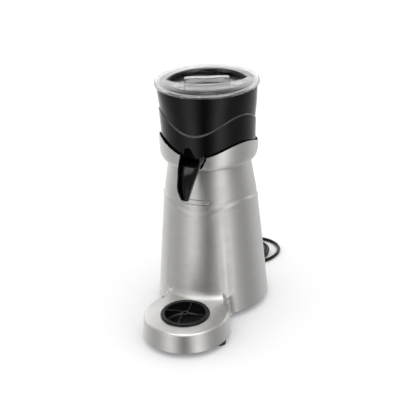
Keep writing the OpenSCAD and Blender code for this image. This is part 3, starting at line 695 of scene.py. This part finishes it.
def collarPoint(column, row):
    angle = collarTurns[column % len(collarTurns)]
    low = collar["bottom"]
    foot = [(collar["flange"], low), (68, low), (72, low), (73.4, low + 0.3)]
    if row < len(foot):
        return aroundDrive(foot[row][0], angle, foot[row][1])
    t = (row - len(foot)) / (collar["rows"] - len(foot))
    z = mix(low + 1.1, collarEdge(angle), t ** 1.25)
    return aroundDrive(collarRadius(z), angle, z)


spunCollar = addSheet("spun_collar", len(collarTurns), collar["rows"], collarPoint)
settle(spunCollar, 60)
applyModifier(spunCollar, "SOLIDIFY", thickness=collar["sheet"] * mm, offset=-1)
applyModifier(spunCollar, "BEVEL", width=collar["edge"] * mm, segments=3, limit_method="ANGLE", angle_limit=1.0)
smooth(spunCollar, 50)
install(spunCollar, "housing", "steel_collar", collarSteel, "collar_ring")
print("collar spun")


# blank badge: a raised pill with a rim, bent round the upper cone, with painted shade in its groove

badge = {"z": 195, "half": 25.5, "high": 4.5, "around": 96, "groove": (0.76, 0.88)}
# rings of a pill, from the middle out: share of its half height, and how far they stand off the cone in mm
badgeRings = [(0.0, 0.5), (0.45, 0.5), (0.72, 0.5), (badge["groove"][0], 0.3), (badge["groove"][1], 0.3),
              (0.91, 0.65), (0.97, 0.7), (1.0, 0.4), (1.0, -0.6)]


def badgePoint(column, row):
    grow, lift = badgeRings[row]
    t = tau * column / badge["around"]
    straight = badge["half"] - badge["high"]
    radius = grow * badge["high"]
    x = math.copysign(min(straight, abs(straight * math.cos(t)) * 1.6), math.cos(t)) * min(1, grow * 3)
    x += radius * math.cos(t)
    z = badge["z"] + radius * math.sin(t)
    return aroundDrive(upperCone(z) + lift, x / upperCone(z), z)


blankBadge = addSheet("blank_badge", badge["around"], len(badgeRings) - 1, badgePoint)
settle(blankBadge, 30)
blankBadge.data.materials.append(badgeSteel)
blankBadge.data.materials.append(grooveShadePaint)
for face in blankBadge.data.polygons:
    spot = (face.center - onDrive(0, 0, badge["z"])) / mm
    along = max(abs(math.atan2(spot.x, -spot.y) * upperCone(badge["z"])) - badge["half"] + badge["high"], 0)
    share = math.hypot(along, spot.z) / badge["high"]
    face.material_index = 1 if badge["groove"][0] < share < badge["groove"][1] else 0  # painted shade: the groove's faces turn near black
install(blankBadge, "housing", "badge_steel", None, "badge_plate")


# bowl: gloss black, with one wavy step round its wall, and a painted reflection in lighter grey on the step's
# upward faces

bowl = {"around": 216, "rimZ": 370, "foot": 262, "waveMean": 320.3, "waveHeight": 13.7, "step": 1.5,
        "slope": (1.1, 0.3), "fade": 26, "lowerRows": 5, "upperRows": 7, "round": 0.9,
        "windowPlace": (0, -75, 266), "windowSize": (28, 30, 8), "reflectionBand": (1.3, 0.35)}
bowlWall = [(262, 74.8), (300, 76.3), (350, 79), (368, 80), (370, 80)]  # height and outer radius


def bowlWave(angle):
    return bowl["waveMean"] - bowl["waveHeight"] * math.cos(3 * angle)


def bowlRadius(z, angle):
    # above the wave the wall steps in and then comes slowly out again
    radius = bowlWall[0][1]
    for (z0, r0), (z1, r1) in zip(bowlWall, bowlWall[1:]):
        if z > z0:
            radius = mix(r0, r1, min(1, (z - z0) / (z1 - z0)))
    rise = z - bowlWave(angle)
    height = bowl["slope"][0] + bowl["slope"][1] * math.cos(3 * angle)
    fading = clamp((bowl["fade"] + height - rise) / bowl["fade"])
    return radius - bowl["step"] * clamp((rise + height) / (2 * height)) * fading


bowlRise = [-14, -8, -4, -2, -1.5, -1.2, -0.9, 0, 0.9, 1.2, 1.5, 2, 4, 8, 14]
# down the inside past the strainer's ledge, over the floor, round the chimney, and under the floor to the stand
innerWall = [(79.6, 370), (78.2, 370)] + rounded([
    (77.5, 370), (76.3, 350), (73.8, 301), (73.6, 299), (70.5, 299), (70.5, 296.2), (73.3, 291.5),
    (72.5, 264.5), (70, 262), (12.5, 262), (12.5, 281), (10, 281), (10, 259), (68, 259), (68, 253.2),
    (71, 253.2), (71, 259), (73, 259.2)], bowl["round"], 2)
outerRows = bowl["lowerRows"] + len(bowlRise) + bowl["upperRows"]


def bowlPoint(column, row):
    angle = tau * column / bowl["around"]
    row %= outerRows + len(innerWall)
    if row >= outerRows:
        radius, z = innerWall[row - outerRows]
        return aroundDrive(radius, angle, z)
    above = row - bowl["lowerRows"]
    if above < 0:
        z = mix(bowl["foot"], bowlWave(angle) + bowlRise[0], row / bowl["lowerRows"])
    elif above < len(bowlRise):
        z = bowlWave(angle) + bowlRise[above]
    else:
        t = (above + 1 - len(bowlRise)) / bowl["upperRows"]
        z = mix(bowlWave(angle) + bowlRise[-1], bowl["rimZ"] - 0.8, t)
    return aroundDrive(bowlRadius(z, angle), angle, z)


juiceBowl = addSheet("moulded_bowl", bowl["around"], outerRows + len(innerWall), bowlPoint)
settle(juiceBowl, 42)
cutAway(juiceBowl, addBlock(bowl["windowPlace"], bowl["windowSize"]))  # lets the juice out to the spout
smooth(juiceBowl, 42)
# the upward faces along the wavy step get the lighter grey as a painted reflection of the light from above; the
# rest stays gloss black
juiceBowl.data.materials.append(bowlPlastic)
juiceBowl.data.materials.append(stepReflectionPaint)
for face in juiceBowl.data.polygons:
    spot = (face.center - onDrive(0, 0, 0)) / mm
    turned = math.atan2(spot.x, -spot.y)
    reach = bowl["reflectionBand"][0] + bowl["reflectionBand"][1] * math.cos(3 * turned)
    reflectionOnStep = abs(spot.z - bowlWave(turned)) < reach and face.normal.z > 0.1
    face.material_index = 1 if reflectionOnStep and math.hypot(spot.x, spot.y) > 75 else 0
install(juiceBowl, "bowl", "bowl_plastic", None, "juice_bowl")
print("bowl moulded")


# spout: an open channel that falls away from the bowl

spout = {"columns": 28, "steps": 4, "square": 0.62, "wall": 2, "edge": 0.6}
# along the spout: y and z of its rims, half width, y and z of its floor
spoutStations = [(-78, 282, 20, -73, 262), (-84, 281, 19, -79, 261.5), (-92, 278, 17.4, -86, 260),
                 (-105, 264, 16.2, -95, 254), (-113, 255, 14.2, -102, 247), (-122, 246, 12.2, -109, 238),
                 (-127, 238, 10.3, -114, 230), (-127, 230, 7.8, -117, 223), (-126, 222, 5.5, -119, 217)]


def spoutPoint(column, row):
    i = min(row // spout["steps"], len(spoutStations) - 2)
    near = [spoutStations[clamp(k, 0, len(spoutStations) - 1)] for k in range(i - 1, i + 3)]
    t = row / spout["steps"] - i
    rimY, rimZ, wide, floorY, floorZ = [glide(*four, t) for four in zip(*near)]
    turned = math.radians(mix(-90, 90, column / spout["columns"]))
    x = (wide - spout["wall"] / 2) * squared(math.sin(turned), spout["square"])
    depth = abs(math.cos(turned)) ** spout["square"]
    return onDrive(x, mix(rimY, floorY, depth), mix(rimZ, floorZ, depth))


pourSpout = addSheet("open_spout", spout["columns"], spout["steps"] * (len(spoutStations) - 1), spoutPoint)
settle(pourSpout, 60)
applyModifier(pourSpout, "SOLIDIFY", thickness=spout["wall"] * mm, offset=0)
applyModifier(pourSpout, "BEVEL", width=spout["edge"] * mm, segments=3, limit_method="ANGLE", angle_limit=1.0)
smooth(pourSpout, 50)
install(pourSpout, "bowl", "spout_plastic", spoutPlastic, "pour_spout")
print("spout drawn")


# lid: one clear domed moulding, a sunk leaf with a grip along it

lid = {"turn": 18.6, "halfLong": 62, "halfWide": 38, "barHalf": 36, "barWide": 7, "barFoot": 3.4, "leafFoot": 4,
       "leafEdge": 2.6, "floor": 366, "barTop": 378.5, "domeLow": 373.6, "domeRise": 7.2, "domeReach": 74,
       "domeOut": 70, "wall": 2.0}
leafArc = (lid["halfLong"] ** 2 + lid["halfWide"] ** 2) / (2 * lid["halfWide"])
leafShift = leafArc - lid["halfWide"]


def leafReach(a):
    return math.sqrt(leafArc ** 2 - (leafShift * math.cos(a)) ** 2) - leafShift * abs(math.sin(a))


def barReach(a):
    straight = lid["barHalf"] - lid["barWide"]
    c, s = abs(math.cos(a)), abs(math.sin(a))
    if s > 1e-6 and lid["barWide"] / s * c <= straight:
        return lid["barWide"] / s
    return straight * c + math.sqrt(max(0, lid["barWide"] ** 2 - (straight * s) ** 2))


fineTurns = [math.radians(d / 2) for d in range(-32, 33)]
lidTurns = sorted({round(a % tau, 5) for a in [math.radians(3 * k) for k in range(120)]
                   + fineTurns + [math.pi + a for a in fineTurns]})
# each ring has a kind, a size and a height. A bar's or a leaf's size is how far it stands outside that outline
# in mm, a floor's or a dome's is its share of the way across, and a round's is its radius. An edge is a leaf
# whose height is measured from the dome
lidRings = ([("bar", size, z) for size, z in [
                (-7, 378.5), (-3, 378.5), (-1.2, 378.4), (-0.4, 377.9), (0, 376.6), (0.5, 371), (0.9, 368),
                (1.8, 366.6), (lid["barFoot"], lid["floor"])]]
            + [("floor", t, lid["floor"]) for t in (0.3, 0.6, 0.9)]
            + [("leaf", -lid["leafFoot"], lid["floor"]), ("leaf", -2, 366.3), ("leaf", -0.8, 367.3),
               ("leaf", -0.2, 369.4)]
            + [("edge", 0.2, -5), ("edge", 0.6, -1.8), ("edge", 1.4, -0.4), ("edge", lid["leafEdge"], 0)]
            + [("dome", t, 0) for t in (0.2, 0.4, 0.6, 0.8, 1)]
            + [("round", radius, z) for radius, z in [
                (71.6, 374.5), (73, 373.9), (74.2, 373.5), (75.6, 373.35), (79, 373.35), (80.2, 373.7),
                (81, 374.1), (81.9, 374.0), (82.7, 373.3), (83.1, 372.2), (83.1, 370.9), (82.6, 370.2),
                (80, 370.05)]])


def domeHeight(reach):
    # the lid is highest beside the middle of the leaf and falls towards its tips and the rim
    fall = clamp((1 - (reach / lid["domeReach"]) ** 2) / 0.7)
    return lid["domeLow"] + lid["domeRise"] * fall ** 0.9


def lidPoint(column, row):
    a = lidTurns[column % len(lidTurns)]
    if row == 0:
        return aroundDrive(0, 0, lid["barTop"])
    kind, size, z = lidRings[row - 1]
    if kind == "bar":
        reach = barReach(a) + size if size > -lid["barWide"] else 0.4 * barReach(a)
    elif kind in ("leaf", "edge"):
        reach = leafReach(a) + size
    elif kind == "floor":
        reach = mix(barReach(a) + lid["barFoot"], leafReach(a) - lid["leafFoot"], size)
    elif kind == "dome":
        reach = mix(leafReach(a) + lid["leafEdge"], lid["domeOut"], size)
    else:
        reach = size
    if kind in ("edge", "dome"):
        z += domeHeight(reach)
    swung = a + math.radians(lid["turn"])
    return onDrive(reach * math.cos(swung), reach * math.sin(swung), z)


lidShell = addSheet("lid_shell", len(lidTurns), len(lidRings), lidPoint)
settle(lidShell, 50)
applyModifier(lidShell, "SOLIDIFY", thickness=lid["wall"] * mm, offset=-1)
skirtProfile = rounded([(74.7, 371.2), (74.7, 363.2), (76.3, 363.2), (76.3, 371.2)], 0.6, 3) + [(74.7, 371.2)]
lidSkirt = addTurned("lid_skirt", skirtProfile, onDrive(0, 0, 0), 120)
settle(lidSkirt, 50)
clearLid = joined("clear_lid", [lidShell, lidSkirt])
smooth(clearLid, 50)
install(clearLid, "lid_part", "clear_acrylic", clearAcrylic, "lid")
print("lid moulded")


# reamer: ten sharp ridges with hollow flutes that run up to the tip

reamer = {"ridges": 10, "radius": 37.6, "domeZ": 305, "tip": 351.5, "flute": 5.5, "ridgeWidth": 0.75,
          "fullness": 0.85, "around": 200, "rows": 30}
reamerSkirt = [(11.6, 297.4), (36, 297.4), (38.8, 297), (39.5, 297.6), (39.5, 300.6), (38.9, 301.6),
               (37.9, 303)]


def reamerPoint(column, row):
    angle = tau * column / reamer["around"]
    if row < len(reamerSkirt):
        return aroundDrive(reamerSkirt[row][0], angle, reamerSkirt[row][1])
    t = math.radians(90 * (row - len(reamerSkirt)) / (reamer["rows"] - len(reamerSkirt)))
    valley = abs(math.sin(reamer["ridges"] / 2 * angle)) ** reamer["ridgeWidth"]
    depth = reamer["flute"] * math.sin(min(t * 1.6, math.pi)) ** 0.6 if t > 0 else 0
    radius = reamer["radius"] * max(math.cos(t), 0) ** reamer["fullness"]
    radius = max(radius - depth * valley * clamp(radius / 12), 0)
    return aroundDrive(radius, angle, reamer["domeZ"] + (reamer["tip"] - reamer["domeZ"]) * math.sin(t))


ribbedReamer = addSheet("ribbed_reamer", reamer["around"], reamer["rows"], reamerPoint)
settle(ribbedReamer, 40)
reamerHub = addTurned("reamer_hub", rounded([
    (6.2, 297.6), (6.2, 283), (11.4, 283), (11.4, 297.6)], 0.5, 2), onDrive(0, 0, 0), 48)
settle(reamerHub, 40)
ribbedReamer = joined("ribbed_reamer", [ribbedReamer, reamerHub])
install(ribbedReamer, "reamer", "reamer_plastic", reamerPlastic, "reamer_cone")


# drip grid: a stepped ring, a hub and four curved ribs

grid = {"ribs": 4, "rib": 1.5, "edge": 0.35, "sweep": 18, "start": -18, "from": (5.6, 30.8), "to": (33.3, 34.1),
        "along": 16, "up": 2}
gridCentre = onDrive(0, -housing["cupReach"], 0)
gridRing = addTurned("grid_ring", rounded([
    (32.7, 28.7), (32.7, 34.2), (34, 34.9), (35.4, 34.3), (36.9, 34.9), (38.1, 34.6), (38.8, 33.2),
    (38.5, 32.65), (34.2, 32.65), (34.2, 28.7)], 0.5, 3) + [(32.7, 28.7)], gridCentre, 128)
settle(gridRing, 45)
gridHub = addTurned("grid_hub", rounded([
    (2.6, 30.4), (2.6, 33.6), (3.4, 34.2), (5.4, 34.2), (6.3, 33.2), (6.3, 30.4)], 0.6, 3)
    + [(2.6, 30.4)], gridCentre, 48)
settle(gridHub, 45)
gridParts = [gridRing, gridHub]


def ribPoint(number):
    def place(column, row):
        t = column / grid["along"]
        first = grid["start"] + 360 / grid["ribs"] * number
        a = math.radians(first + grid["sweep"] * math.sin(t * math.pi / 2))
        reach = mix(grid["from"][0], grid["to"][0], t)
        high = mix(grid["from"][1], grid["to"][1], row / grid["up"])
        return gridCentre + Vector((reach * math.cos(a), reach * math.sin(a), high)) * mm
    return place


for number in range(grid["ribs"]):
    rib = addSheet("grid_rib", grid["along"], grid["up"], ribPoint(number))
    applyModifier(rib, "SOLIDIFY", thickness=grid["rib"] * mm, offset=0)
    applyModifier(rib, "BEVEL", width=grid["edge"] * mm, segments=2, limit_method="ANGLE", angle_limit=1.0)
    settle(rib, 45)
    gridParts.append(rib)
dripGrid = joined("ribbed_grid", gridParts)
install(dripGrid, "grid", "grid_plastic", gridPlastic, "drip_grid")
print("grid made")


# the CAD nodes that show as they are

nodeFinish = {
    "deck_plate": deckSteel, "deck_screws": screwSteel, "base_plate": zincPlate, "base_screws": screwSteel,
    "rubber_feet": footRubber, "motor_bolts": screwSteel, "isolation_bushes": sealRubber,
    "upper_shield": castAluminium, "lower_shield": castAluminium, "stator_core": lamination,
    "stator_winding": winding, "tie_bolts": screwSteel, "upper_bearing": bearingSteel,
    "lower_bearing": bearingSteel, "shaft_seal": sealRubber, "run_capacitor": capacitorCan,
    "capacitor_clip": zincPlate, "terminal_block": terminalPlastic, "inner_wiring": wireSleeve,
    "switch_body": switchPlastic, "switch_rocker": rockerPlastic, "cord_gland": cordRubber,
    "plug_pins": pinNickel, "drive_shaft": shaftSteel, "rotor_core": lamination,
    "rotor_rings": castAluminium, "cooling_fan": fanPlastic, "drive_pin": shaftSteel,
    "strainer": strainerSteel, "drip_cup": cupPlastic}
for nodeName, material in nodeFinish.items():
    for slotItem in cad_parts[nodeName].material_slots:
        slotItem.material = material
print("nodes finished")


# floor, surroundings and lamps

deselectAll()
bpy.ops.mesh.primitive_plane_add(size=8, location=(0, 0, 0))
floor = bpy.context.object
floor.name = "floor"
floorPaint, floorTree, floorShader = startMaterial("WhitePaper", {
    "Base Color": linear("f4f4f5"), "Roughness": 0.9, "Specular IOR Level": 0.1})
floor.data.materials.append(floorPaint)
floor.visible_glossy = False

# how bright each part of the surroundings is, and between which directions (unit vector) it comes in
studio = {"fill": 1.22, "strength": 1.9, "back": 1.9, "backAway": (-0.3, -0.6), "backUp": (0.1, 0.32),
          "top": 0.5, "topUp": (0.5, 0.75), "lamp": 4.0, "lampUp": (0.86, 0.96)}
# brightness of the surroundings by direction round the camera's side, in degrees, for upright bands
bands = [(-180, 1.1), (-150, 1.2), (-120, 0.8), (-92, 0.52), (-72, 0.5), (-56, 1.0), (-42, 1.5), (-28, 0.75),
         (-15, 0.1), (-3, 0.1), (10, 0.5), (25, 1.75), (38, 1.25), (54, 0.45), (85, 0.38), (104, 0.6),
         (128, 0.78), (180, 0.95)]
world = bpy.data.worlds.new("studio")
bpy.context.scene.world = world
world.use_nodes = True
sky = world.node_tree
direction = addNode(sky, "ShaderNodeTexCoord").outputs["Generated"]
swing = addNode(sky, "ShaderNodeMapping", {
    "Vector": direction, "Rotation": (0, 0, math.radians(90 - view["azimuth"]))})
parts = addNode(sky, "ShaderNodeSeparateXYZ", {"Vector": swing.outputs["Vector"]})
angle = addNode(sky, "ShaderNodeMath", {0: parts.outputs["Y"], 1: parts.outputs["X"]}, operation="ARCTAN2")
share = addNode(sky, "ShaderNodeMapRange", {
    "Value": angle.outputs[0], "From Min": -math.pi, "From Max": math.pi, "To Min": 0.0, "To Max": 1.0})
ramp = addNode(sky, "ShaderNodeValToRGB", {"Fac": share.outputs["Result"]})
ramp.color_ramp.interpolation = "B_SPLINE"
while len(ramp.color_ramp.elements) < len(bands):
    ramp.color_ramp.elements.new(0.5)
for stop, (degrees, level) in zip(ramp.color_ramp.elements, bands):
    stop.position = (degrees + 180) / 360


def grey(level):
    return (*[level / studio["strength"]] * 3, 1)


for stop, (degrees, level) in zip(ramp.color_ramp.elements, bands):
    stop.color = grey(level)


def smoothShare(value, reach):
    ranged = addNode(sky, "ShaderNodeMapRange", {
        "Value": value, "From Min": reach[0], "From Max": reach[1], "To Min": 0.0, "To Max": 1.0},
        interpolation_type="SMOOTHSTEP")
    return ranged.outputs["Result"]


def levelOver(below, level, factor):
    blended = addNode(sky, "ShaderNodeMix", {"Factor": factor}, data_type="RGBA")
    sky.links.new(below, blended.inputs[6])
    blended.inputs[7].default_value = grey(level)
    return blended.outputs[2]


# a bright sheet hangs behind, from the table's height up to 30 degrees, the ceiling is dim, and a lamp hangs
# right overhead that catches the rolled edges
behind = addNode(sky, "ShaderNodeMath", {
    0: smoothShare(parts.outputs["X"], studio["backAway"]),
    1: smoothShare(parts.outputs["Z"], studio["backUp"])}, operation="MULTIPLY")
panels = levelOver(ramp.outputs["Color"], studio["back"], behind.outputs[0])
panels = levelOver(panels, studio["top"], smoothShare(parts.outputs["Z"], studio["topUp"]))
panels = levelOver(panels, studio["lamp"], smoothShare(parts.outputs["Z"], studio["lampUp"]))
rays = addNode(sky, "ShaderNodeLightPath")
seen = addNode(sky, "ShaderNodeBackground", {"Color": panels, "Strength": studio["strength"]})
plain = addNode(sky, "ShaderNodeBackground", {"Color": (1, 1, 1, 1), "Strength": studio["fill"]})
split = addNode(sky, "ShaderNodeMixShader", {
    0: rays.outputs["Is Glossy Ray"], 1: plain.outputs[0], 2: seen.outputs[0]})
sky.links.new(split.outputs[0], sky.nodes["World Output"].inputs["Surface"])
bpy.context.scene.view_settings.view_transform = "Standard"
print("stage set")
